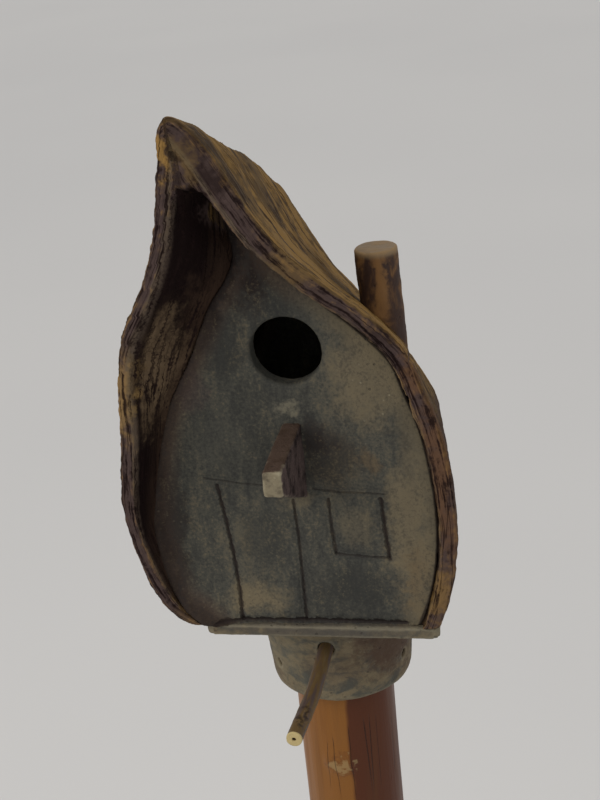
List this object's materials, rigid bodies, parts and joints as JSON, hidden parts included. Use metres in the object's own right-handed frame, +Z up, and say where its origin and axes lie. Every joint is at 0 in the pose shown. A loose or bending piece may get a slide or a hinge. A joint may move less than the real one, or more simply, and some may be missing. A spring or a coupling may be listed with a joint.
{
  "type": "birdhouse on pole",
  "caption": "Hand-built stoneware birdhouse with a bent teardrop roof, round entrance, bracket, chimney and twig perch, socketed on a peeled wooden pole.",
  "frame": {"origin": "on the flat foot of the pole, under the axis of the collar's socket", "axes": "+Z up the pole, the entrance faces -Y, +X is to the right seen from the front"},
  "size_m": [0.1477, 0.161, 1.1067],
  "materials": {
    "pole_wood": "varnished",
    "twig_wood": "bare",
    "base_clay": "matte, bare stoneware",
    "wall_clay": "matte, washed grey-green",
    "roof_clay": "matte, dark iron wash with ochre streaks",
    "chimney_clay": "matte, ochre over dark brown"
  },
  "bodies": {
    "root": {"pole": "pole_wood", "collar": "base_clay", "twig": "twig_wood", "floor_slab": "base_clay", "front_wall": "wall_clay", "back_wall": "wall_clay", "left_roof_slab": "roof_clay", "left_side_slab": "roof_clay", "right_roof_slab": "roof_clay", "right_side_slab": "roof_clay", "chimney": "chimney_clay", "bracket": "chimney_clay"}
  },
  "joints": []
}
